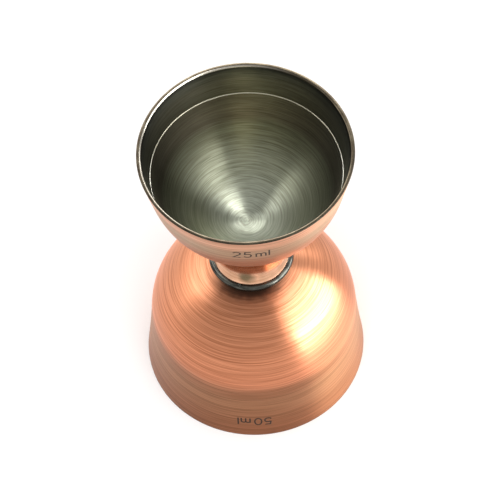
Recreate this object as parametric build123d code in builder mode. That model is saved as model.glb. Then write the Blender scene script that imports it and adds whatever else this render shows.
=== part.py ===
from build123d import *
from math import acos, asin, cos, degrees, radians, sin, tan
import os

# A double-ended bar jigger that stands on the mouth of its large cup.
# Two spun sheet cups are joined back to back at a narrow waist. The waist is a concave
# collar that sits on a bullnosed spacer ring, and a solid stud inside it ties the two
# cups together. Every piece is turned about the Z axis. The origin is the centre of the
# circle that the jigger stands on, and +Z points up, out of the small cup.

# Driving dimensions, in millimetres and degrees.
overall_height = 77.8
small_rim_radius = 23.0
large_rim_radius = 24.65
sheet = 0.9

# Rims: the cut edge of the sheet, rounded over on the inside and eased on the outside.
rim_inner_fillet = 0.4
rim_outer_fillet = 0.12

# Small cup: a tapered wall that runs tangent into a deep rounded bowl with a flat floor.
small_taper = 12.0
small_wall_foot_height = 69.4
small_bowl_radius = 24.0
small_floor_radius = 3.0
measure_line_height = 70.1
measure_line_width = 0.3
measure_line_depth = 0.12

# Large cup: a slightly flared skirt below a domed bell.
dome_centre_radius = 1.0
dome_centre_height = 15.7
dome_radius = 22.0
skirt_top_height = 17.5
skirt_middle_height = 9.2
skirt_middle_radius = 23.62
crown_flat_radius = 4.0

# Waist: spacer ring, collar and stud.
ring_edge_radius = 0.95
ring_edge_centre_radius = 8.4
ring_edge_centre_height = 37.4
ring_bore_radius = 6.0
collar_foot_radius = 8.35
collar_waist_radius = 7.55
collar_waist_height = 42.0
collar_top_radius = 10.4
collar_top_width = 1.9
collar_wall = 1.1
stud_radius = 3.0


def around(centre, radius, angle):
    """Point of a circle at an angle in degrees, as (radius from the axis, height)."""
    turn = radians(angle)
    return (centre[0] + radius * cos(turn), centre[1] + radius * sin(turn))


def angle_at_radius(centre, radius, axis_distance):
    """Angle in degrees at which a circle is this far from the part's axis."""
    return degrees(acos((axis_distance - centre[0]) / radius))


def round_rim(profile, end):
    """Rounds the cut edge of a cup, at the top (end -1) or the bottom (end 0) of its profile."""
    outer_corner = profile.vertices().group_by(Axis.Y)[end].sort_by(Axis.X)[-1]
    fillet(outer_corner, radius=rim_outer_fillet)
    inner_corner = profile.vertices().group_by(Axis.Y)[end].sort_by(Axis.X)[0]
    fillet(inner_corner, radius=rim_inner_fillet)


def inner_wall_radius(height):
    """Radius of the inner face of the small cup's tapered wall."""
    taper = radians(small_taper)
    return small_rim_radius - sheet / cos(taper) - (overall_height - height) * tan(taper)


# Small cup. The inner and the outer faces of the bowl share one arc centre.
small_wall_foot_radius = inner_wall_radius(small_wall_foot_height)
small_bowl_centre = (
    small_wall_foot_radius - small_bowl_radius * cos(radians(small_taper)),
    small_wall_foot_height + small_bowl_radius * sin(radians(small_taper)),
)
small_outer_radius = small_bowl_radius + sheet
bowl_floor_angle = -angle_at_radius(small_bowl_centre, small_bowl_radius, small_floor_radius)
bowl_sweep = -small_taper - bowl_floor_angle
floor_edge = around(small_bowl_centre, small_bowl_radius, bowl_floor_angle)
underside_edge = around(small_bowl_centre, small_outer_radius, bowl_floor_angle)
inner_foot = around(small_bowl_centre, small_bowl_radius, -small_taper)
outer_foot = around(small_bowl_centre, small_outer_radius, -small_taper)
inner_wall_top = (inner_wall_radius(overall_height), overall_height)
outer_wall_top = (small_rim_radius, overall_height)
measure_line_radius = inner_wall_radius(measure_line_height)

with BuildPart() as small_cup:
    with BuildSketch(Plane.XZ) as small_cup_profile:
        with BuildLine():
            Line((0, floor_edge[1]), floor_edge)
            CenterArc(small_bowl_centre, small_bowl_radius, bowl_floor_angle, bowl_sweep)
            Line(inner_foot, inner_wall_top)
            Line(inner_wall_top, outer_wall_top)
            Line(outer_wall_top, outer_foot)
            CenterArc(small_bowl_centre, small_outer_radius, -small_taper, -bowl_sweep)
            Line(underside_edge, (0, underside_edge[1]))
            Line((0, underside_edge[1]), (0, floor_edge[1]))
        make_face()
        round_rim(small_cup_profile, -1)
    revolve(axis=Axis.Z)
    # The measuring line is a fine groove cut round the inside of the wall.
    with BuildSketch(Plane.XZ):
        with Locations((measure_line_radius, measure_line_height)):
            Rectangle(2 * measure_line_depth, measure_line_width, rotation=-small_taper)
    revolve(axis=Axis.Z, mode=Mode.SUBTRACT)
small_cup.part.label = "small_cup"

# Large cup. It stands mouth down, so its rim is at the bottom.
dome_centre = (dome_centre_radius, dome_centre_height)
dome_inner_radius = dome_radius - sheet
dome_foot_angle = degrees(asin((skirt_top_height - dome_centre_height) / dome_radius))
crown_angle = angle_at_radius(dome_centre, dome_radius, crown_flat_radius)
dome_sweep = crown_angle - dome_foot_angle
outer_skirt_foot = (large_rim_radius, 0)
inner_skirt_foot = (large_rim_radius - sheet, 0)
outer_skirt_top = around(dome_centre, dome_radius, dome_foot_angle)
inner_skirt_top = around(dome_centre, dome_inner_radius, dome_foot_angle)
outer_skirt_middle = (skirt_middle_radius, skirt_middle_height)
inner_skirt_middle = (skirt_middle_radius - sheet, skirt_middle_height)
crown_edge = around(dome_centre, dome_radius, crown_angle)
ceiling_edge = around(dome_centre, dome_inner_radius, crown_angle)

with BuildPart() as large_cup:
    with BuildSketch(Plane.XZ) as large_cup_profile:
        with BuildLine():
            ThreePointArc(outer_skirt_foot, outer_skirt_middle, outer_skirt_top)
            CenterArc(dome_centre, dome_radius, dome_foot_angle, dome_sweep)
            Line(crown_edge, (0, crown_edge[1]))
            Line((0, crown_edge[1]), (0, ceiling_edge[1]))
            Line((0, ceiling_edge[1]), ceiling_edge)
            CenterArc(dome_centre, dome_inner_radius, crown_angle, -dome_sweep)
            ThreePointArc(inner_skirt_top, inner_skirt_middle, inner_skirt_foot)
            Line(inner_skirt_foot, outer_skirt_foot)
        make_face()
        round_rim(large_cup_profile, 0)
    revolve(axis=Axis.Z)
large_cup.part.label = "large_cup"

# Spacer ring. Its underside follows the dome, its top is flat and its edge is a half round.
ring_top_height = ring_edge_centre_height + ring_edge_radius
ring_seat_outer_angle = angle_at_radius(dome_centre, dome_radius, ring_edge_centre_radius)
ring_seat_inner_angle = angle_at_radius(dome_centre, dome_radius, ring_bore_radius)
ring_seat_outer = around(dome_centre, dome_radius, ring_seat_outer_angle)
ring_seat_inner = around(dome_centre, dome_radius, ring_seat_inner_angle)
ring_edge_top = (ring_edge_centre_radius, ring_top_height)
ring_edge_nose = (ring_edge_centre_radius + ring_edge_radius, ring_edge_centre_height)

with BuildPart() as waist_ring:
    with BuildSketch(Plane.XZ):
        with BuildLine():
            Line((ring_bore_radius, ring_top_height), ring_edge_top)
            ThreePointArc(ring_edge_top, ring_edge_nose, ring_seat_outer)
            CenterArc(
                dome_centre,
                dome_radius,
                ring_seat_outer_angle,
                ring_seat_inner_angle - ring_seat_outer_angle,
            )
            Line(ring_seat_inner, (ring_bore_radius, ring_top_height))
        make_face()
    revolve(axis=Axis.Z)
waist_ring.part.label = "waist_ring"

# Collar. A thin concave sleeve that flares from the ring's top up to the underside of the
# bowl. Both faces are pairs of arcs that are upright where they meet at the waist.
collar_outer_angle = -angle_at_radius(small_bowl_centre, small_outer_radius, collar_top_radius)
collar_inner_angle = -angle_at_radius(
    small_bowl_centre, small_outer_radius, collar_top_radius - collar_top_width
)
collar_top_outer = around(small_bowl_centre, small_outer_radius, collar_outer_angle)
collar_top_inner = around(small_bowl_centre, small_outer_radius, collar_inner_angle)
collar_foot = (collar_foot_radius, ring_top_height)
collar_foot_inner = (collar_foot_radius - collar_wall, ring_top_height)
collar_waist = (collar_waist_radius, collar_waist_height)
collar_waist_inner = (collar_waist_radius - collar_wall, collar_waist_height)

with BuildPart() as waist_collar:
    with BuildSketch(Plane.XZ):
        with BuildLine():
            TangentArc(collar_waist, collar_foot, tangent=(0, -1))
            TangentArc(collar_waist, collar_top_outer, tangent=(0, 1))
            CenterArc(
                small_bowl_centre,
                small_outer_radius,
                collar_outer_angle,
                collar_inner_angle - collar_outer_angle,
            )
            TangentArc(collar_waist_inner, collar_top_inner, tangent=(0, 1))
            TangentArc(collar_waist_inner, collar_foot_inner, tangent=(0, -1))
            Line(collar_foot_inner, collar_foot)
        make_face()
    revolve(axis=Axis.Z)
waist_collar.part.label = "waist_collar"

# Joining stud. It stands on the crown of the large cup and carries the small cup's floor.
with BuildPart() as joining_stud:
    with BuildSketch(Plane.XY.offset(crown_edge[1])):
        Circle(stud_radius)
    extrude(amount=underside_edge[1] - crown_edge[1])
joining_stud.part.label = "joining_stud"

os.makedirs("parts", exist_ok=True)
for piece in (small_cup, large_cup, waist_ring, waist_collar, joining_stud):
    export_step(piece.part, f"parts/{piece.part.label}.step")
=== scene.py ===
from math import acos, asin, atan2, cos, dist, hypot, pi, radians, sin, sqrt, tan
from typing import NamedTuple

import bmesh
import bpy
from mathutils import Matrix, Quaternion, Vector


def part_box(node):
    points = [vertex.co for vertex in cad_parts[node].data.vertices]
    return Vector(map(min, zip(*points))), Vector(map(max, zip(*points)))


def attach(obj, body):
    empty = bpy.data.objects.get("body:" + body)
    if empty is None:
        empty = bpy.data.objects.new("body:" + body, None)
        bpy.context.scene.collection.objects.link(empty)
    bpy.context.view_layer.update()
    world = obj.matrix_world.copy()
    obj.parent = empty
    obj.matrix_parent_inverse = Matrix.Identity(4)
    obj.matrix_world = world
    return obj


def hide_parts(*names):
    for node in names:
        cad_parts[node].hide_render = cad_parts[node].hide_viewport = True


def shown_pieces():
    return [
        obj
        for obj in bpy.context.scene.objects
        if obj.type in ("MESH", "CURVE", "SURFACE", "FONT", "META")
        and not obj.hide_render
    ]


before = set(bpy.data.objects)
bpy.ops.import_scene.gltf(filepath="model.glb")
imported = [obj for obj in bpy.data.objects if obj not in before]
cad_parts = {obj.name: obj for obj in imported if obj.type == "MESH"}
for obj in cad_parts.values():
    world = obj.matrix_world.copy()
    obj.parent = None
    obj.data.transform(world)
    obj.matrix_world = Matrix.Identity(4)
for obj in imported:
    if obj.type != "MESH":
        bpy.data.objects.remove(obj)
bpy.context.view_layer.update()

# A copper bar jigger that stands on the mouth of its large cup. Its cups, spacer ring and
# collar are turned about the Z axis, from profiles that match the CAD pieces they replace.
# Lengths are in metres, angles are in radians, and a profile point is (distance from the
# Z axis, height). Colours are linear.
MM = 0.001


class Finish(NamedTuple):
    """Look of a metal with fine lines round the axis, left by brushing or turning.

    darkest and palest are its colours between the lines and on them. Where a metal has
    patina and painted shade by height, they are tints that multiply those instead.
    """

    spacing: float
    sweep: float  # how far round the axis a line runs
    darkest: tuple
    palest: tuple
    roughness: tuple  # between the lines and on them
    depth: float


class Mark(NamedTuple):
    """Capacity mark on the outside of a cup."""

    text: str
    size: tuple  # across and up
    height: float
    angle: float
    upright: bool


class SoftBox(NamedTuple):
    """Area light aimed at the object, as bright as radiance says all over its face."""

    name: str
    azimuth: float  # round from +X
    elevation: float  # up from the floor
    distance: float
    width: float
    height: float
    radiance: float


# Sizes of the turned pieces that the frame's boxes don't give, as in the CAD source.
SHEET = 0.9 * MM
RIM_INNER_FILLET = 0.4 * MM
RIM_OUTER_FILLET = 0.12 * MM
SMALL_RIM_RADIUS = 23.0 * MM
LARGE_RIM_RADIUS = 24.65 * MM
SMALL_TAPER = radians(12.0)
SMALL_WALL_FOOT_HEIGHT = 69.4 * MM
SMALL_BOWL_RADIUS = 24.0 * MM
SMALL_FLOOR_RADIUS = 3.0 * MM
LINE_HEIGHT = 70.1 * MM
LINE_WIDTH = 0.3 * MM
LINE_DEPTH = 0.12 * MM
DOME_CENTRE = (1.0 * MM, 15.7 * MM)
DOME_RADIUS = 22.0 * MM
SKIRT_TOP_HEIGHT = 17.5 * MM
SKIRT_MIDDLE = (23.62 * MM, 9.2 * MM)
CROWN_FLAT_RADIUS = 4.0 * MM
RING_EDGE_RADIUS = 0.95 * MM
RING_BORE_RADIUS = 6.0 * MM
COLLAR_FOOT_RADIUS = 8.35 * MM
COLLAR_WAIST = (7.55 * MM, 42.0 * MM)
COLLAR_TOP_WIDTH = 1.9 * MM
COLLAR_WALL = 1.1 * MM

# Where the spacer ring's rounded edge stops, just above the dome.
RING_EDGE_END = radians(-60.0)

# A nick in the spacer ring's top edge, with painted shade over it.
NICK_ANGLE = radians(-110.0)
NICK_RADIUS = 8.6 * MM
NICK_HALF_WIDTH = 0.35 * MM
NICK_DEPTH = 0.30 * MM
NICK_SHADE_COLOUR = (0.006, 0.006, 0.005)

# Capacity marks: plain drawn strokes, whose glyphs are one unit high.
SMALL_MARK = Mark("25 ml", (7.6 * MM, 2.9 * MM), 71.9 * MM, radians(-90.0), upright=True)
LARGE_MARK = Mark("50 ml", (7.5 * MM, 2.4 * MM), 5.1 * MM, radians(-93.0), upright=False)
MARK_STROKE = 0.34 * MM
MARK_PROUD = 0.02 * MM
LETTER_GAP = 0.26
MITRE_LIMIT = 0.5

# Mesh density, the least angle of a crease, and the distance within which points are one.
TURN_STEPS = 256
RING_TURN_STEPS = 720
ARC_STEP = radians(2.0)
SHALLOW_ARC_STEP = radians(0.3)
RING_EDGE_STEP = radians(10.0)
FILLET_STEP = radians(12.0)
CREASE = radians(35.0)
TOUCHING = 0.0001 * MM

# Material numbers of a cup's zones.
INSIDE, RIM, LINE, OUTSIDE = range(4)

# Metals: spacing, sweep, darkest, palest, roughness and depth of their lines.
COPPER = Finish(0.24 * MM, 0.9, (0.72, 0.68, 0.64), (1.20, 1.23, 1.27), (0.38, 0.28), 0.02 * MM)
NICKEL = Finish(0.24 * MM, 0.8, (0.74, 0.73, 0.70), (1.24, 1.25, 1.27), (0.36, 0.28), 0.02 * MM)
LIP = Finish(0.12 * MM, 0.08, (0.028, 0.022, 0.015), (0.072, 0.060, 0.041), (0.22, 0.12), 0.004 * MM)
CUT = Finish(0.05 * MM, 0.04, (0.48, 0.46, 0.38), (0.86, 0.84, 0.76), (0.45, 0.30), 0.0)
COLLAR = Finish(0.22 * MM, 0.8, (0.56, 0.285, 0.165), (0.80, 0.470, 0.310), (0.22, 0.14), 0.01 * MM)
BLACK = Finish(0.15 * MM, 0.2, (0.022, 0.022, 0.020), (0.10, 0.10, 0.085), (0.32, 0.22), 0.008 * MM)
STEEL = Finish(0.2 * MM, 0.5, (0.42, 0.42, 0.43), (0.62, 0.62, 0.64), (0.40, 0.28), 0.01 * MM)

# Brushing of the cups: coarser lines (spacing, sweep) that are mixed into the fine ones, the
# fine lines' share, and how far brushing stretches a highlight.
COPPER_COARSE = (0.55 * MM, 1.4)
NICKEL_COARSE = (0.6 * MM, 1.2)
FINE_SHARE = 0.75
COPPER_ANISOTROPY = 0.85
NICKEL_ANISOTROPY = 0.8

# Ranges of noise that a change is spread over: nearly all of it for roughness, and narrower
# ones for the colours of the brushed lines and of the collar's lines.
NOISE_RANGE = (0.3, 0.7)
BRUSHED_RANGE = (0.38, 0.60)
TURNED_RANGE = (0.35, 0.65)

# Least distance from the axis in materials, so that the angle round it is always defined.
LEAST_RADIUS = 0.001 * MM

# Copper colour by height: patina, with painted shade that darkens the skirt and the dome
# close to the waist. The small cup is darker low on its wall and paler near its rim.
LARGE_TONES = (
    (2 * MM, (0.262, 0.104, 0.049)),
    (12 * MM, (0.303, 0.138, 0.068)),
    (15.5 * MM, (0.308, 0.131, 0.065)),
    (19 * MM, (0.54, 0.205, 0.104)),
    (25 * MM, (0.54, 0.210, 0.108)),
    (32 * MM, (0.45, 0.180, 0.092)),
    (37 * MM, (0.30, 0.130, 0.070)),
)
SMALL_TONES = (
    (52 * MM, (0.38, 0.150, 0.080)),
    (66 * MM, (0.355, 0.132, 0.062)),
    (72 * MM, (0.37, 0.225, 0.130)),
    (76 * MM, (0.56, 0.280, 0.165)),
)

# Dark nickel inside the cups by height, with painted shade and reflection: a browner dark band
# round the wall's foot, and darker above the measuring line.
INSIDE_TONES = (
    (51 * MM, (0.220, 0.232, 0.184)),
    (56 * MM, (0.200, 0.208, 0.150)),
    (62 * MM, (0.155, 0.156, 0.104)),
    (64.7 * MM, (0.122, 0.108, 0.074)),
    (66.5 * MM, (0.160, 0.142, 0.097)),
    (69.9 * MM, (0.160, 0.142, 0.097)),
    (70.4 * MM, (0.122, 0.114, 0.077)),
    (73.5 * MM, (0.128, 0.120, 0.083)),
    (76 * MM, (0.088, 0.086, 0.064)),
    (77.3 * MM, (0.040, 0.040, 0.033)),
)

# The brushing inside the cups runs round a point just off the axis. Its left and right
# sides are painted darker than its front and back, more so higher up: painted shade.
INSIDE_CENTRE = (-0.7 * MM, 0.0)
SIDE_SHADE_SHARPNESS = 2.8
SIDE_SHADE_HEIGHTS = (55 * MM, 67 * MM)
SIDE_SHADE_STRENGTH = 0.9
SIDE_SHADE_TINT = (0.38, 0.40, 0.44)

# Broad bands of browner copper.
BANDS = (2.2 * MM, 1.2)
BANDS_RANGE = (0.38, 0.66)
BANDS_STRENGTH = 0.2
BANDS_TINT = (0.72, 0.76, 0.80)

# Right side of the skirt, painted paler as painted light from the right.
PAINTED_LIGHT_ANGLE = radians(-18.0)
PAINTED_LIGHT_SPREAD = (radians(46.0), radians(24.0))
PAINTED_LIGHT_HEIGHTS = (16 * MM, 21 * MM)
PAINTED_LIGHT_TINT = (1.45, 1.55, 1.50)

# Painted shade and dark reflection on the dome just in front of the spacer ring.
RING_SHADE_ANGLE = radians(-95.0)
RING_SHADE_SPREAD = (radians(75.0), 0.0)
RING_SHADE_RADII = (9.9 * MM, 12.4 * MM)
RING_SHADE_GRAIN = 1.5 * MM
RING_SHADE_RAGGED = 1.2 * MM
RING_SHADE_STRENGTH = 0.9
RING_SHADE_COLOUR = (0.030, 0.017, 0.012)

# Part of the small cup's rim that is painted bright on the inner half of its edge, a painted
# highlight, and the finer scuffs all round both rims.
RIM_HIGHLIGHT_ANGLE = radians(150.0)
RIM_HIGHLIGHT_SPREAD = (radians(95.0), radians(35.0))
RIM_HIGHLIGHT_RADII = (22.18 * MM, 22.44 * MM)
RIM_HIGHLIGHT_COLOUR = (0.44, 0.41, 0.35)
SCUFF_SIZE = 3.0 * MM
SCUFF_RANGE = (0.15, 0.4)

# Tarnish on the collar, and a green-brown painted dark reflection low on its front.
TARNISH_SIZE = 4.0 * MM
TARNISH_RANGE = (0.45, 0.75)
TARNISH_STRENGTH = 0.5
TARNISH_COLOUR = (0.26, 0.15, 0.08)
PAINTED_REFLECTION_CENTRE = (-1.3 * MM, -7.6 * MM, 40.2 * MM)
PAINTED_REFLECTION_RADII = (1.1 * MM, 3.2 * MM)
PAINTED_REFLECTION_COLOUR = (0.075, 0.070, 0.035)
SPOT_STRENGTH = 0.85

# Patches of the spacer ring that are worn paler.
RING_WEAR_SIZE = 2.5 * MM
RING_WEAR_RANGE = (0.8, 1.25)

# Laser-burnt capacity marks, matt and grainy.
BURN_GRAIN = 0.12 * MM
BURN_COLOURS = ((0.010, 0.006, 0.004), (0.042, 0.023, 0.014))
BURN_ROUGHNESS = (0.75, 0.55)
BURN_DEPTH = 0.01 * MM

# Camera: straight in front of the object, looking down at it from well above. The sensor
# and the lens are in millimetres.
CAMERA_ELEVATION = radians(57.833)
CAMERA_DISTANCE = 0.72366
CAMERA_TARGET_HEIGHT = 39.19 * MM
CAMERA_ROLL = radians(-3.186)
CAMERA_SENSOR = 36.0
CAMERA_LENS = 237.6
CAMERA_SHIFT = -0.00178

# Studio: a white floor under a white sky, soft boxes for the metal and one for the floor.
# Each is its name, azimuth, elevation, distance, width, height and radiance.
FLOOR_HALF_WIDTH = 3.0
FLOOR_ALBEDO = 0.93
METAL_LIGHTS = (
    SoftBox("key_right", radians(-19.0), radians(18.0), 0.45, 0.56, 0.48, 5.5),
    SoftBox("low_right", radians(-14.0), radians(4.0), 0.40, 0.50, 0.10, 16.0),
    SoftBox("high_right", radians(18.0), radians(70.0), 0.60, 0.26, 0.22, 8.5),
    SoftBox("back_right", radians(42.0), radians(28.0), 0.60, 0.08, 0.26, 5.0),
    SoftBox("fill_left", radians(148.0), radians(38.0), 0.50, 0.56, 0.36, 3.5),
    SoftBox("top_back", radians(90.0), radians(35.0), 0.80, 0.44, 0.56, 16.5),
)
FLOOR_LIGHT = SoftBox("floor_light", radians(-84.0), radians(72.0), 1.2, 0.8, 0.6, 4.2)


# ---------------------------------------------------------------- profiles


def around(centre, radius, angle):
    """Point of a circle at an angle."""
    return centre[0] + radius * cos(angle), centre[1] + radius * sin(angle)


def arc(centre, radius, start, end, step=ARC_STEP):
    """Profile points on a circle between two angles, both ends included."""
    count = max(2, round(abs(end - start) / step))
    return [around(centre, radius, start + (end - start) * i / count) for i in range(count + 1)]


def angle_at_radius(centre, radius, axis_distance):
    """Angle at which a circle is this far from the Z axis."""
    return acos((axis_distance - centre[0]) / radius)


def circle_through(a, b, c):
    """Centre of the circle through three profile points."""
    d = 2 * (a[0] * (b[1] - c[1]) + b[0] * (c[1] - a[1]) + c[0] * (a[1] - b[1]))
    a2, b2, c2 = (p[0] ** 2 + p[1] ** 2 for p in (a, b, c))
    x = (a2 * (b[1] - c[1]) + b2 * (c[1] - a[1]) + c2 * (a[1] - b[1])) / d
    y = (a2 * (c[0] - b[0]) + b2 * (a[0] - c[0]) + c2 * (b[0] - a[0])) / d
    return x, y


def arc_through(a, b, c):
    """Profile points on the shallow arc from a through b to c, bulging towards the axis."""
    centre = circle_through(a, b, c)
    radius = dist(a, centre)
    start, end = (pi - asin((p[1] - centre[1]) / radius) for p in (a, c))
    return arc(centre, radius, start, end, SHALLOW_ARC_STEP)


def upright_arc(start, end):
    """Profile points on the arc that leaves start straight up or down and ends at end."""
    across, up = end[0] - start[0], end[1] - start[1]
    radius = (across**2 + up**2) / (2 * across)
    centre = (start[0] + radius, start[1])
    return arc(centre, radius, pi, pi - asin(up / radius))


def fillet(before, corner, after, radius):
    """Profile points that round a corner between two straight neighbours."""
    a, b = (Vector(p) - Vector(corner) for p in (before, after))
    half = a.angle(b) / 2
    a.normalize()
    b.normalize()
    centre = Vector(corner) + (a + b).normalized() * (radius / sin(half))
    start, end = (Vector(corner) + side * (radius / tan(half)) - centre for side in (a, b))
    sweep = start.angle_signed(end)
    count = max(2, round(abs(sweep) / FILLET_STEP))
    turns = [Matrix.Rotation(-sweep * i / count, 2) @ start for i in range(count + 1)]
    return [tuple(centre + turn) for turn in turns]


# ---------------------------------------------------------------- meshes


def finish_mesh(name, vertices, faces, slots, materials):
    """Piece made of these faces, with normals turned out, creases kept and materials set."""
    mesh = bpy.data.meshes.new(name)
    mesh.from_pydata(vertices, [], faces)
    mesh.polygons.foreach_set("material_index", slots)
    work = bmesh.new()
    work.from_mesh(mesh)
    bmesh.ops.recalc_face_normals(work, faces=work.faces)
    work.to_mesh(mesh)
    work.free()
    mesh.polygons.foreach_set("use_smooth", [True] * len(mesh.polygons))
    mesh.set_sharp_from_angle(angle=CREASE)
    for material in materials:
        mesh.materials.append(material)
    piece = bpy.data.objects.new(name, mesh)
    bpy.context.scene.collection.objects.link(piece)
    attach(piece, "root")
    return piece


def join_runs(runs):
    """Profile points of all runs in order, and the material number of each step between."""
    points, zones = [], []
    for run, zone in runs:
        for point in run:
            if points and dist(point, points[-1]) < TOUCHING:
                continue
            if points:
                zones.append(zone)
            points.append(point)
    return points, zones


def ring_of(point, steps):
    """Vertices of one turned profile point: a single one on the axis, or a full circle."""
    radius, height = point
    if radius < TOUCHING:
        return [(0.0, 0.0, height)]
    turns = [2 * pi * i / steps for i in range(steps)]
    return [(radius * cos(t), radius * sin(t), height) for t in turns]


def band_faces(low, high, low_count, high_count, steps):
    """Faces between two neighbouring rings, given where each starts and how many it has."""
    faces = []
    for i in range(steps):
        j = (i + 1) % steps
        if low_count == 1:
            faces.append((low, high + i, high + j))
        elif high_count == 1:
            faces.append((low + i, low + j, high))
        else:
            faces.append((low + i, low + j, high + j, high + i))
    return faces


def lathe(name, runs, materials, steps=TURN_STEPS, closed=False):
    """Turns runs of (profile points, material number) about the Z axis into one piece.

    A closed profile ends at the point that it started from.
    """
    points, zones = join_runs(runs)
    if closed:
        points.pop()
    vertices, starts, counts = [], [], []
    for point in points:
        ring = ring_of(point, steps)
        starts.append(len(vertices))
        counts.append(len(ring))
        vertices += ring
    faces, slots = [], []
    for k, zone in enumerate(zones):
        n = (k + 1) % len(points)
        band = band_faces(starts[k], starts[n], counts[k], counts[n], steps)
        faces += band
        slots += [zone] * len(band)
    return finish_mesh(name, vertices, faces, slots, materials)


# ---------------------------------------------------------------- shader nodes


class Turned(NamedTuple):
    """Node outputs that place a surface point: its distance from the axis, its height, and
    the cosine and sine of its angle round the axis."""

    radius: bpy.types.NodeSocket
    height: bpy.types.NodeSocket
    cosine: bpy.types.NodeSocket
    sine: bpy.types.NodeSocket


def wire(tree, source, socket):
    """Feeds a socket from another node's output, or sets it to a plain value."""
    if isinstance(source, bpy.types.NodeSocket):
        tree.links.new(source, socket)
    else:
        socket.default_value = source


def maths(tree, operation, *values):
    """Output of a Math node that takes these values."""
    node = tree.nodes.new("ShaderNodeMath")
    node.operation = operation
    for value, socket in zip(values, node.inputs):
        wire(tree, value, socket)
    return node.outputs[0]


def remap(tree, value, from_low, from_high, to_low, to_high, smooth=False):
    """Value moved from one range to another and held inside it."""
    node = tree.nodes.new("ShaderNodeMapRange")
    node.interpolation_type = "SMOOTHSTEP" if smooth else "LINEAR"
    for number, socket in zip((value, from_low, from_high, to_low, to_high), node.inputs):
        wire(tree, number, socket)
    return node.outputs["Result"]


def blend(tree, factor, a, b, mode="MIX"):
    """Colour a towards colour b. In a Mix node, inputs 6 and 7 and output 2 are the colours."""
    node = tree.nodes.new("ShaderNodeMix")
    node.data_type = "RGBA"
    node.blend_type = mode
    wire(tree, factor, node.inputs["Factor"])
    for colour, socket in zip((a, b), node.inputs[6:8]):
        wire(tree, colour if isinstance(colour, bpy.types.NodeSocket) else (*colour, 1.0), socket)
    return node.outputs[2]


def tint(tree, factor, colour, tone):
    """Colour multiplied by a tone, as far as factor says."""
    return blend(tree, factor, colour, blend(tree, 1.0, colour, tone, "MULTIPLY"))


def place_on_piece(tree):
    """Place of a surface point in the piece's own axes."""
    return tree.nodes.new("ShaderNodeTexCoord").outputs["Object"]


def turned_coordinates(tree, centre=(0.0, 0.0)):
    """Place of a surface point round an upright axis through centre."""
    split = tree.nodes.new("ShaderNodeSeparateXYZ")
    wire(tree, place_on_piece(tree), split.inputs[0])
    x = maths(tree, "SUBTRACT", split.outputs["X"], centre[0])
    y = maths(tree, "SUBTRACT", split.outputs["Y"], centre[1])
    squares = maths(tree, "ADD", maths(tree, "MULTIPLY", x, x), maths(tree, "MULTIPLY", y, y))
    radius = maths(tree, "MAXIMUM", maths(tree, "SQRT", squares), LEAST_RADIUS)
    cosine = maths(tree, "DIVIDE", x, radius)
    sine = maths(tree, "DIVIDE", y, radius)
    return Turned(radius, split.outputs["Z"], cosine, sine)


def sector(tree, turned, middle, outer, inner):
    """1 as near as inner to the angle middle round the axis, falling to 0 at outer."""
    along_x = maths(tree, "MULTIPLY", turned.cosine, cos(middle))
    along_y = maths(tree, "MULTIPLY", turned.sine, sin(middle))
    along = maths(tree, "ADD", along_x, along_y)
    return remap(tree, along, cos(outer), cos(inner), 0.0, 1.0, smooth=True)


def streaks(tree, turned, spacing, sweep, detail=2.0, roughness=0.6):
    """Noise in thin lines round the axis."""
    join = tree.nodes.new("ShaderNodeCombineXYZ")
    wire(tree, maths(tree, "DIVIDE", turned.radius, spacing), join.inputs["X"])
    wire(tree, maths(tree, "DIVIDE", turned.height, spacing), join.inputs["Y"])
    wire(tree, maths(tree, "DIVIDE", turned.cosine, sweep), join.inputs["Z"])
    noise = tree.nodes.new("ShaderNodeTexNoise")
    noise.noise_dimensions = "4D"
    wire(tree, join.outputs[0], noise.inputs["Vector"])
    wire(tree, maths(tree, "DIVIDE", turned.sine, sweep), noise.inputs["W"])
    noise.inputs["Scale"].default_value = 1.0
    noise.inputs["Detail"].default_value = detail
    noise.inputs["Roughness"].default_value = roughness
    return noise.outputs["Fac"]


def cloud(tree, size, detail=3.0):
    """Noise in soft patches of about this size."""
    noise = tree.nodes.new("ShaderNodeTexNoise")
    wire(tree, place_on_piece(tree), noise.inputs["Vector"])
    noise.inputs["Scale"].default_value = 1.0 / size
    noise.inputs["Detail"].default_value = detail
    return noise.outputs["Fac"]


def ragged_fade(tree, distance, near, far, strength, grain, ragged):
    """strength up to the distance near, falling to 0 at far, with a ragged edge."""
    rough_distance = maths(tree, "ADD", distance, maths(tree, "MULTIPLY", cloud(tree, grain), ragged))
    return remap(tree, rough_distance, near, far, strength, 0.0, smooth=True)


def spot(tree, centre, core, reach):
    """How much of a ragged round spot covers the surface."""
    gap = tree.nodes.new("ShaderNodeVectorMath")
    gap.operation = "DISTANCE"
    wire(tree, place_on_piece(tree), gap.inputs[0])
    wire(tree, centre, gap.inputs[1])
    grain, ragged = reach / 2, reach / 3
    return ragged_fade(tree, gap.outputs["Value"], core, reach, SPOT_STRENGTH, grain, ragged)


def height_tones(tree, height, tones):
    """Colour that changes smoothly with height, from a list of (height, colour)."""
    low, high = tones[0][0], tones[-1][0]
    ramp = tree.nodes.new("ShaderNodeValToRGB")
    ramp.color_ramp.interpolation = "EASE"
    stops = ramp.color_ramp.elements
    while len(stops) < len(tones):
        stops.new(0.5)
    for stop, (level, colour) in zip(stops, tones):
        stop.position = (level - low) / (high - low)
        stop.color = (*colour, 1.0)
    wire(tree, remap(tree, height, low, high, 0.0, 1.0), ramp.inputs[0])
    return ramp.outputs[0]


# ---------------------------------------------------------------- materials


def new_material(name, metallic=1.0):
    """Material, its node tree and its Principled shader."""
    material = bpy.data.materials.new(name)
    material.use_nodes = True
    tree = material.node_tree
    shader = tree.nodes["Principled BSDF"]
    shader.inputs["Metallic"].default_value = metallic
    return material, tree, shader


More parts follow.
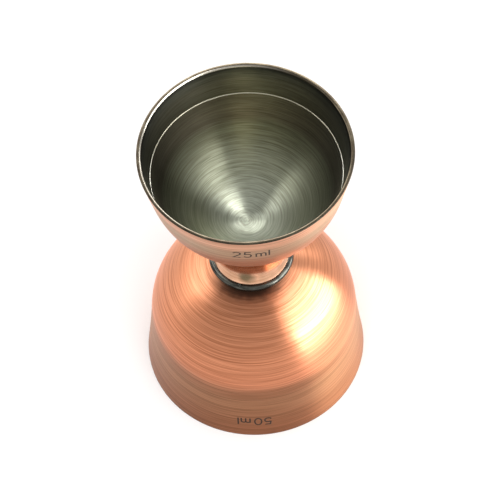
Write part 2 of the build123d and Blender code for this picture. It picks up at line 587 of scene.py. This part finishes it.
def stretch_highlights(tree, shader, anisotropy):
    """Stretches highlights across brushing that runs round the Z axis."""
    tangent = tree.nodes.new("ShaderNodeTangent")
    tangent.direction_type = "RADIAL"
    tangent.axis = "Z"
    wire(tree, tangent.outputs[0], shader.inputs["Tangent"])
    shader.inputs["Anisotropic"].default_value = anisotropy
    shader.inputs["Anisotropic Rotation"].default_value = 0.25


def dress(tree, shader, colour, pattern, roughness, depth):
    """Sets the colour of a shader, and makes its roughness and its bumps follow a pattern."""
    wire(tree, colour, shader.inputs["Base Color"])
    wire(tree, remap(tree, pattern, *NOISE_RANGE, *roughness), shader.inputs["Roughness"])
    if depth > 0:
        bump = tree.nodes.new("ShaderNodeBump")
        bump.inputs["Strength"].default_value = 1.0
        bump.inputs["Distance"].default_value = depth
        wire(tree, pattern, bump.inputs["Height"])
        wire(tree, bump.outputs[0], shader.inputs["Normal"])


def brushed_lines(tree, turned, finish, coarse):
    """Fine lines of a finish, mixed with coarser ones."""
    fine_lines = streaks(tree, turned, finish.spacing, finish.sweep)
    fine_part = maths(tree, "MULTIPLY", fine_lines, FINE_SHARE)
    coarse_part = maths(tree, "MULTIPLY", streaks(tree, turned, *coarse), 1 - FINE_SHARE)
    return maths(tree, "ADD", fine_part, coarse_part)


def brushed_patina_and_shade(tree, height, tones, lines, finish):
    """Patina and painted shade by height, darker between the brushed lines and paler on them."""
    tone = remap(tree, lines, *BRUSHED_RANGE, 0.0, 1.0)
    line_tint = blend(tree, tone, finish.darkest, finish.palest)
    return blend(tree, 1.0, height_tones(tree, height, tones), line_tint, "MULTIPLY")


def painted_light_side(tree, turned):
    """Where the skirt is painted paler, as painted light from the right."""
    below = remap(tree, turned.height, *PAINTED_LIGHT_HEIGHTS, 1.0, 0.0, smooth=True)
    return maths(tree, "MULTIPLY", below, sector(tree, turned, PAINTED_LIGHT_ANGLE, *PAINTED_LIGHT_SPREAD))


def ring_shade(tree, turned):
    """How much of the painted shade in front of the spacer ring covers the surface."""
    close = ragged_fade(tree, turned.radius, *RING_SHADE_RADII, RING_SHADE_STRENGTH, RING_SHADE_GRAIN, RING_SHADE_RAGGED)
    return maths(tree, "MULTIPLY", close, sector(tree, turned, RING_SHADE_ANGLE, *RING_SHADE_SPREAD))


def brushed_copper(name, tones):
    """Brushed antiqued copper: patina and painted shade by height, a painted lit side and painted
    ring shade.
    """
    material, tree, shader = new_material(name)
    turned = turned_coordinates(tree)
    lines = brushed_lines(tree, turned, COPPER, COPPER_COARSE)
    # The tones by height are patina and painted shade.
    colour = brushed_patina_and_shade(tree, turned.height, tones, lines, COPPER)
    bands = remap(tree, streaks(tree, turned, *BANDS), *BANDS_RANGE, 0.0, BANDS_STRENGTH)
    colour = tint(tree, bands, colour, BANDS_TINT)
    # Painted light on the right of the skirt.
    colour = tint(tree, painted_light_side(tree, turned), colour, PAINTED_LIGHT_TINT)
    # Painted shade and dark reflection in front of the spacer ring.
    colour = blend(tree, ring_shade(tree, turned), colour, RING_SHADE_COLOUR)
    dress(tree, shader, colour, lines, COPPER.roughness, COPPER.depth)
    stretch_highlights(tree, shader, COPPER_ANISOTROPY)
    return material


def brushed_nickel(name):
    """Dark nickel brushed round the axis, for the insides of the cups, with painted shade."""
    material, tree, shader = new_material(name)
    turned = turned_coordinates(tree, INSIDE_CENTRE)
    lines = brushed_lines(tree, turned, NICKEL, NICKEL_COARSE)
    # The inside tones by height hold painted shade and reflection.
    colour = brushed_patina_and_shade(tree, turned.height, INSIDE_TONES, lines, NICKEL)
    # Painted shade: the left and right sides darker, more so higher up.
    sides = maths(tree, "POWER", maths(tree, "ABSOLUTE", turned.cosine), SIDE_SHADE_SHARPNESS)
    high_up = remap(tree, turned.height, *SIDE_SHADE_HEIGHTS, 0.0, SIDE_SHADE_STRENGTH, smooth=True)
    colour = tint(tree, maths(tree, "MULTIPLY", sides, high_up), colour, SIDE_SHADE_TINT)
    dress(tree, shader, colour, lines, NICKEL.roughness, NICKEL.depth)
    stretch_highlights(tree, shader, NICKEL_ANISOTROPY)
    return material


def dark_lip(name):
    """Smoother dark metal of the rounded rims, with fine scuffs and a painted highlight on a rim."""
    material, tree, shader = new_material(name)
    turned = turned_coordinates(tree)
    lines = streaks(tree, turned, LIP.spacing, LIP.sweep)
    scuffs = maths(tree, "MULTIPLY", lines, cloud(tree, SCUFF_SIZE))
    tone = remap(tree, scuffs, *SCUFF_RANGE, 0.0, 1.0)
    colour = blend(tree, tone, LIP.darkest, LIP.palest)
    inner_half = remap(tree, turned.radius, *RIM_HIGHLIGHT_RADII, 1.0, 0.0, smooth=True)
    # Painted highlight on the inner half of the small cup's rim.
    rim_highlight = maths(tree, "MULTIPLY", inner_half, sector(tree, turned, RIM_HIGHLIGHT_ANGLE, *RIM_HIGHLIGHT_SPREAD))
    colour = blend(tree, rim_highlight, colour, RIM_HIGHLIGHT_COLOUR)
    dress(tree, shader, colour, lines, LIP.roughness, LIP.depth)
    return material


def polished_copper(name):
    """Copper polished on the lathe, with faint turning lines, tarnish and a painted dark reflection.
    """
    material, tree, shader = new_material(name)
    lines = streaks(tree, turned_coordinates(tree), COLLAR.spacing, COLLAR.sweep)
    tone = remap(tree, lines, *TURNED_RANGE, 0.0, 1.0)
    colour = blend(tree, tone, COLLAR.darkest, COLLAR.palest)
    tarnish = remap(tree, cloud(tree, TARNISH_SIZE), *TARNISH_RANGE, 0.0, TARNISH_STRENGTH)
    colour = blend(tree, tarnish, colour, TARNISH_COLOUR)
    # Painted dark reflection low on the collar's front.
    colour = blend(tree, spot(tree, PAINTED_REFLECTION_CENTRE, *PAINTED_REFLECTION_RADII), colour, PAINTED_REFLECTION_COLOUR)
    dress(tree, shader, colour, lines, COLLAR.roughness, COLLAR.depth)
    return material


def blackened_metal(name):
    """Blackened metal of the spacer ring, paler in places from wear, with painted shade in its nick.
    """
    material, tree, shader = new_material(name)
    lines = streaks(tree, turned_coordinates(tree), BLACK.spacing, BLACK.sweep)
    wear = maths(tree, "ADD", lines, cloud(tree, RING_WEAR_SIZE))
    tone = remap(tree, wear, *RING_WEAR_RANGE, 0.0, 1.0)
    colour = blend(tree, tone, BLACK.darkest, BLACK.palest)
    nick_centre = (*around((0.0, 0.0), NICK_RADIUS, NICK_ANGLE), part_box("waist_ring")[1].z)
    # Painted shade over the nick.
    nick_shade = spot(tree, nick_centre, NICK_HALF_WIDTH, 3 * NICK_HALF_WIDTH)
    colour = blend(tree, nick_shade, colour, NICK_SHADE_COLOUR)
    dress(tree, shader, colour, lines, BLACK.roughness, BLACK.depth)
    return material


def turned_metal(name, finish):
    """Plain turned metal that only its lines colour."""
    material, tree, shader = new_material(name)
    lines = streaks(tree, turned_coordinates(tree), finish.spacing, finish.sweep)
    colour = blend(tree, lines, finish.darkest, finish.palest)
    dress(tree, shader, colour, lines, finish.roughness, finish.depth)
    return material


def burnt_mark(name):
    """Matt dark brown of the laser-burnt capacity marks."""
    material, tree, shader = new_material(name, metallic=0.0)
    shader.inputs["Specular IOR Level"].default_value = 0.2
    grains = cloud(tree, BURN_GRAIN, detail=2.0)
    dress(tree, shader, blend(tree, grains, *BURN_COLOURS), grains, BURN_ROUGHNESS, BURN_DEPTH)
    return material


# ---------------------------------------------------------------- pieces


def wall_radius(height, top_height, depth=0.0):
    """Radius of the small cup's straight wall, at a depth under its outer face."""
    fall = (top_height - height) * tan(SMALL_TAPER)
    return SMALL_RIM_RADIUS - fall - depth / cos(SMALL_TAPER)


def small_bowl_centre(top_height):
    """Centre of the arcs of the small cup's bowl."""
    foot = (wall_radius(SMALL_WALL_FOOT_HEIGHT, top_height, SHEET), SMALL_WALL_FOOT_HEIGHT)
    return around(foot, SMALL_BOWL_RADIUS, pi - SMALL_TAPER)


def skirt_top_angle():
    """Angle on the dome's arc at which the skirt begins."""
    return asin((SKIRT_TOP_HEIGHT - DOME_CENTRE[1]) / DOME_RADIUS)


def measuring_groove(top_height):
    """Profile of the groove that is the measuring line, from its lower lip to its upper one."""
    low, high = LINE_HEIGHT - LINE_WIDTH / 2, LINE_HEIGHT + LINE_WIDTH / 2
    return [
        (wall_radius(low, top_height, SHEET), low),
        (wall_radius(low, top_height, SHEET - LINE_DEPTH), low),
        (wall_radius(high, top_height, SHEET - LINE_DEPTH), high),
        (wall_radius(high, top_height, SHEET), high),
    ]


def small_cup_runs():
    """Profile of the small cup: floor, bowl, measuring line, wall, rim, and back down."""
    low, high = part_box("small_cup")
    top = high.z
    centre = small_bowl_centre(top)
    floor_angle = -angle_at_radius(centre, SMALL_BOWL_RADIUS, SMALL_FLOOR_RADIUS)
    inner_bowl = arc(centre, SMALL_BOWL_RADIUS, floor_angle, -SMALL_TAPER)
    outer_bowl = arc(centre, SMALL_BOWL_RADIUS + SHEET, -SMALL_TAPER, floor_angle)
    groove = measuring_groove(top)
    inner_edge = (wall_radius(top, top, SHEET), top)
    outer_edge = (SMALL_RIM_RADIUS, top)
    inner_round = fillet(groove[-1], inner_edge, outer_edge, RIM_INNER_FILLET)
    outer_round = fillet(inner_edge, outer_edge, outer_bowl[0], RIM_OUTER_FILLET)
    return [
        ([(0.0, inner_bowl[0][1]), *inner_bowl, groove[0]], INSIDE),
        (groove[1:], LINE),
        (inner_round[:1], INSIDE),
        ([*inner_round, *outer_round], RIM),
        ([*outer_bowl, (0.0, low.z)], OUTSIDE),
    ]


def large_cup_runs():
    """Profile of the large cup: crown, dome, skirt, rim, and back up the inside."""
    low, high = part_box("large_cup")
    crown = angle_at_radius(DOME_CENTRE, DOME_RADIUS, CROWN_FLAT_RADIUS)
    outer_dome = arc(DOME_CENTRE, DOME_RADIUS, crown, skirt_top_angle())
    inner_dome = arc(DOME_CENTRE, DOME_RADIUS - SHEET, skirt_top_angle(), crown)
    outer_edge = (LARGE_RIM_RADIUS, low.z)
    inner_edge = (LARGE_RIM_RADIUS - SHEET, low.z)
    inner_middle = (SKIRT_MIDDLE[0] - SHEET, SKIRT_MIDDLE[1])
    outer_skirt = arc_through(outer_dome[-1], SKIRT_MIDDLE, outer_edge)
    inner_skirt = arc_through(inner_edge, inner_middle, inner_dome[0])
    outer_round = fillet(outer_skirt[-2], outer_edge, inner_edge, RIM_OUTER_FILLET)
    inner_round = fillet(outer_edge, inner_edge, inner_skirt[1], RIM_INNER_FILLET)
    return [
        ([(0.0, high.z), *outer_dome, *outer_skirt[:-1], outer_round[0]], OUTSIDE),
        ([*outer_round, *inner_round], RIM),
        ([*inner_skirt[1:], *inner_dome, (0.0, inner_dome[-1][1])], INSIDE),
    ]


def ring_runs():
    """Profile of the spacer ring: flat top, half-round edge and an underside on the dome."""
    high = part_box("waist_ring")[1]
    edge = (high.x - RING_EDGE_RADIUS, high.z - RING_EDGE_RADIUS)
    seat_outer = angle_at_radius(DOME_CENTRE, DOME_RADIUS, edge[0])
    seat_inner = angle_at_radius(DOME_CENTRE, DOME_RADIUS, RING_BORE_RADIUS)
    seat = arc(DOME_CENTRE, DOME_RADIUS, seat_outer, seat_inner)
    nose = arc(edge, RING_EDGE_RADIUS, pi / 2, RING_EDGE_END, RING_EDGE_STEP)
    bore_top = (RING_BORE_RADIUS, high.z)
    return [([bore_top, *nose, *seat, bore_top], 0)]


def collar_runs():
    """Profile of the concave collar, outside and inside."""
    low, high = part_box("waist_collar")
    bowl_centre = small_bowl_centre(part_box("small_cup")[1].z)
    bowl_radius = SMALL_BOWL_RADIUS + SHEET
    top_outer = angle_at_radius(bowl_centre, bowl_radius, high.x)
    top_inner = angle_at_radius(bowl_centre, bowl_radius, high.x - COLLAR_TOP_WIDTH)
    seat = arc(bowl_centre, bowl_radius, -top_outer, -top_inner)
    foot = (COLLAR_FOOT_RADIUS, low.z)
    waist_inner = (COLLAR_WAIST[0] - COLLAR_WALL, COLLAR_WAIST[1])
    foot_inner = (COLLAR_FOOT_RADIUS - COLLAR_WALL, low.z)
    outside = upright_arc(COLLAR_WAIST, foot)[::-1] + upright_arc(COLLAR_WAIST, seat[0])
    inside = upright_arc(waist_inner, seat[-1])[::-1] + upright_arc(waist_inner, foot_inner)
    return [([*outside, *seat, *inside, foot], 0)]


def replace_node(node):
    """Hides a CAD node, whose place a turned piece takes."""
    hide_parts(node)


def build_cups():
    """Both cups, with copper outside, dark nickel inside and a bright measuring line."""
    small_copper = brushed_copper("small_cup_copper", SMALL_TONES)
    large_copper = brushed_copper("large_cup_copper", LARGE_TONES)
    inside = brushed_nickel("cup_inside")
    lip = dark_lip("cup_lip")
    line = turned_metal("measuring_line", CUT)
    small = lathe("small_cup_shell", small_cup_runs(), [inside, lip, line, small_copper])
    replace_node("small_cup")
    large = lathe("large_cup_shell", large_cup_runs(), [inside, lip, line, large_copper])
    replace_node("large_cup")


def press_nick(piece, top_height):
    """Presses a small notch down into the top edge of the spacer ring."""
    reach = 2 * NICK_HALF_WIDTH
    for vertex in piece.data.vertices:
        x, y, z = vertex.co
        turn = (atan2(y, x) - NICK_ANGLE + pi) % (2 * pi) - pi
        along = abs(NICK_RADIUS * turn)
        across = hypot(hypot(x, y) - NICK_RADIUS, z - top_height)
        if along < NICK_HALF_WIDTH and across < reach:
            vertex.co.z -= NICK_DEPTH * (1 - along / NICK_HALF_WIDTH) * (1 - across / reach)


def build_waist():
    """Spacer ring and collar, and the finish of the hidden stud."""
    ring_metal = blackened_metal("ring_metal")
    ring = lathe("waist_ring_turned", ring_runs(), [ring_metal], RING_TURN_STEPS, closed=True)
    press_nick(ring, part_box("waist_ring")[1].z)
    replace_node("waist_ring")
    collar_copper = polished_copper("collar_copper")
    collar = lathe("waist_collar_turned", collar_runs(), [collar_copper], closed=True)
    replace_node("waist_collar")
    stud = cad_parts["joining_stud"]
    stud.data.materials.clear()
    stud.data.materials.append(turned_metal("stud_steel", STEEL))


# ---------------------------------------------------------------- capacity marks


def bow(centre, size, start, end, count=14):
    """Points on part of an ellipse, with angles in degrees."""
    turns = [radians(start + (end - start) * i / count) for i in range(count + 1)]
    return [(centre[0] + size[0] * cos(t), centre[1] + size[1] * sin(t)) for t in turns]


def glyphs():
    """Strokes and width of each character, on a line one unit high."""
    arch = bow((0.18, 0.44), (0.18, 0.20), 180, 0)
    second_arch = [(x + 0.36, y) for x, y in arch]
    top_of_two = bow((0.28, 0.72), (0.27, 0.26), 165, -35)
    bowl_of_five = bow((0.26, 0.32), (0.28, 0.30), 125, -150)
    return {
        "2": ([[*top_of_two, (0.0, 0.0), (0.56, 0.0)]], 0.56),
        "5": ([[(0.52, 0.98), (0.09, 0.98), (0.05, 0.56), *bowl_of_five]], 0.54),
        "0": ([bow((0.28, 0.49), (0.28, 0.49), 90, 450, 28)], 0.56),
        "m": ([[(0.0, 0.66), (0.0, 0.0)], [*arch, (0.36, 0.0)], [*second_arch, (0.72, 0.0)]], 0.72),
        "l": ([[(0.0, 1.0), (0.0, 0.0)]], 0.0),
        " ": ([], -0.14),
    }


def text_strokes(text, size):
    """Strokes of a line of text, centred on the origin and scaled to fill a width and height."""
    shapes, strokes, pen = glyphs(), [], 0.0
    for letter in text:
        outlines, width = shapes[letter]
        strokes += [[(pen + x, y - 0.5) for x, y in outline] for outline in outlines]
        pen += width + LETTER_GAP
    length = pen - LETTER_GAP
    return [[((x / length - 0.5) * size[0], y * size[1]) for x, y in stroke] for stroke in strokes]


def stroke_sides(stroke, half):
    """Left and right edges of a stroke, square at its ends."""
    left, right = [], []
    for i, point in enumerate(stroke):
        before = Vector(stroke[max(i - 1, 0)])
        after = Vector(stroke[min(i + 1, len(stroke) - 1)])
        ahead = (after - before).normalized()
        side = Vector((-ahead.y, ahead.x)) * half
        if 0 < i < len(stroke) - 1:
            turn = (Vector(point) - before).normalized().dot(ahead)
            side /= max(turn, MITRE_LIMIT)
        left.append(Vector(point) + side)
        right.append(Vector(point) - side)
    return left, right


def strip_faces(start, count):
    """Faces of a closed strip with four vertices at each of its count points."""
    faces = []
    end = start + 4 * (count - 1)
    for i in range(start, end, 4):
        faces += [(i, i + 1, i + 5, i + 4), (i + 1, i + 3, i + 7, i + 5)]
        faces += [(i + 3, i + 2, i + 6, i + 7), (i + 2, i, i + 4, i + 6)]
    faces += [(start, start + 2, start + 3, start + 1), (end, end + 1, end + 3, end + 2)]
    return faces


def lay_mark(name, mark, radius_at, material):
    """Strokes of a mark wrapped round a cup, half sunk in it and standing a hair proud."""
    sign = 1 if mark.upright else -1

    def wrap(point, lift):
        height = mark.height + sign * point.y
        radius = radius_at(height)
        angle = mark.angle + sign * point.x / radius
        return (*around((0.0, 0.0), radius + lift, angle), height)

    vertices, faces = [], []
    for stroke in text_strokes(mark.text, mark.size):
        faces += strip_faces(len(vertices), len(stroke))
        for sides in zip(*stroke_sides(stroke, MARK_STROKE / 2)):
            vertices += [wrap(p, lift) for lift in (MARK_PROUD, -MARK_PROUD) for p in sides]
    piece = finish_mesh(name, vertices, faces, [0] * len(faces), [material])


def build_marks():
    """Generic capacity marks, each upright when its own cup is."""
    burnt = burnt_mark("mark_burn")
    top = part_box("small_cup")[1].z
    skirt_top = around(DOME_CENTRE, DOME_RADIUS, skirt_top_angle())
    centre = circle_through(skirt_top, SKIRT_MIDDLE, (LARGE_RIM_RADIUS, 0.0))
    bend = dist(SKIRT_MIDDLE, centre)

    def skirt_radius(height):
        return centre[0] - sqrt(bend**2 - (height - centre[1]) ** 2)

    lay_mark("capacity_mark_25", SMALL_MARK, lambda height: wall_radius(height, top), burnt)
    lay_mark("capacity_mark_50", LARGE_MARK, skirt_radius, burnt)


# ---------------------------------------------------------------- studio


def collection_of(name, objects):
    """Collection that lists objects for the lights, without placing them in the scene."""
    group = bpy.data.collections.new(name)
    for item in objects:
        group.objects.link(item)
    return group


def add_softbox(box, lit):
    """Soft box whose light falls only on the objects of the collection lit."""
    flat = cos(box.elevation)
    away = Vector((flat * cos(box.azimuth), flat * sin(box.azimuth), sin(box.elevation)))
    light = bpy.data.lights.new(box.name, "AREA")
    light.shape = "RECTANGLE"
    light.size = box.width
    light.size_y = box.height
    light.energy = box.radiance * pi * box.width * box.height
    lamp = bpy.data.objects.new(box.name, light)
    lamp.location = Vector((0.0, 0.0, CAMERA_TARGET_HEIGHT)) + away * box.distance
    lamp.rotation_mode = "QUATERNION"
    lamp.rotation_quaternion = (-away).to_track_quat("-Z", "Y")
    lamp.light_linking.receiver_collection = lit
    bpy.context.scene.collection.objects.link(lamp)


def add_floor():
    """Matt white floor that the jigger stands on."""
    mesh = bpy.data.meshes.new("floor")
    corners = [(-1, -1), (1, -1), (1, 1), (-1, 1)]
    vertices = [(x * FLOOR_HALF_WIDTH, y * FLOOR_HALF_WIDTH, 0.0) for x, y in corners]
    mesh.from_pydata(vertices, [], [(0, 1, 2, 3)])
    floor = bpy.data.objects.new("floor", mesh)
    material, tree, shader = new_material("floor_paint", metallic=0.0)
    shader.inputs["Base Color"].default_value = (FLOOR_ALBEDO, FLOOR_ALBEDO, FLOOR_ALBEDO, 1.0)
    shader.inputs["Roughness"].default_value = 0.9
    shader.inputs["Specular IOR Level"].default_value = 0.0
    mesh.materials.append(material)
    bpy.context.scene.collection.objects.link(floor)
    return floor


def add_world():
    """Even white sky."""
    world = bpy.data.worlds.new("studio")
    world.use_nodes = True
    background = world.node_tree.nodes["Background"]
    background.inputs["Color"].default_value = (1.0, 1.0, 1.0, 1.0)
    background.inputs["Strength"].default_value = 1.0
    bpy.context.scene.world = world


def add_camera():
    """Camera in front of the object, tilted down, with a slight roll."""
    back = Vector((0.0, -cos(CAMERA_ELEVATION), sin(CAMERA_ELEVATION)))
    camera = bpy.data.objects.new("camera", bpy.data.cameras.new("camera"))
    camera.location = Vector((0.0, 0.0, CAMERA_TARGET_HEIGHT)) + back * CAMERA_DISTANCE
    camera.rotation_mode = "QUATERNION"
    roll = Quaternion((0.0, 0.0, 1.0), CAMERA_ROLL)
    camera.rotation_quaternion = (-back).to_track_quat("-Z", "Y") @ roll
    camera.data.sensor_width = CAMERA_SENSOR
    camera.data.lens = CAMERA_LENS
    camera.data.shift_x = CAMERA_SHIFT
    bpy.context.scene.collection.objects.link(camera)
    bpy.context.scene.camera = camera


def build_studio():
    """Floor, lights, sky and camera."""
    metal = collection_of("metal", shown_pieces())
    ground = collection_of("ground", [add_floor()])
    for box in METAL_LIGHTS:
        add_softbox(box, metal)
    add_softbox(FLOOR_LIGHT, ground)
    add_world()
    add_camera()
    bpy.context.scene.view_settings.view_transform = "Standard"


build_cups()
build_waist()
build_marks()
build_studio()
